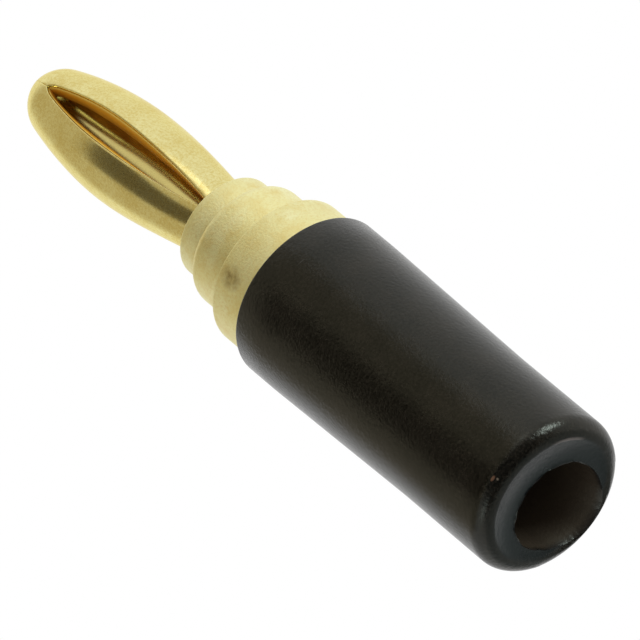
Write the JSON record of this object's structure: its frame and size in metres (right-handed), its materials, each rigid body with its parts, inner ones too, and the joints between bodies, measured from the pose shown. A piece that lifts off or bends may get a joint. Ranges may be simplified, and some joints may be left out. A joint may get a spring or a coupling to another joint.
{
  "type": "banana plug",
  "caption": "Banana plug: slotted, bowed spring contact in a stepped gold-plated body, with a slip-on black sleeve that has a wire hole in its rear end.",
  "frame": {"origin": "centre of the sleeve's rear face, on the plug's axis", "axes": "+Z along the plug's axis, towards the tip of the contact; -Y faces the slit between two leaves"},
  "size_m": [0.007, 0.007, 0.032],
  "materials": {
    "polished_gold": "polished gold plating on beryllium copper",
    "matte_gold": "matte, slightly pitted gold plating on brass",
    "black_vinyl": "satin black moulded vinyl"
  },
  "bodies": {
    "sleeve": {"insulating_sleeve": "black_vinyl"},
    "core": {"contact_spring": "polished_gold", "plug_body": "matte_gold"}
  },
  "joints": [
    {"name": "core_pull", "type": "slide", "parent": "sleeve", "child": "core", "axis": [0, 0, 1], "range_m": [0, 0.0085]}
  ]
}
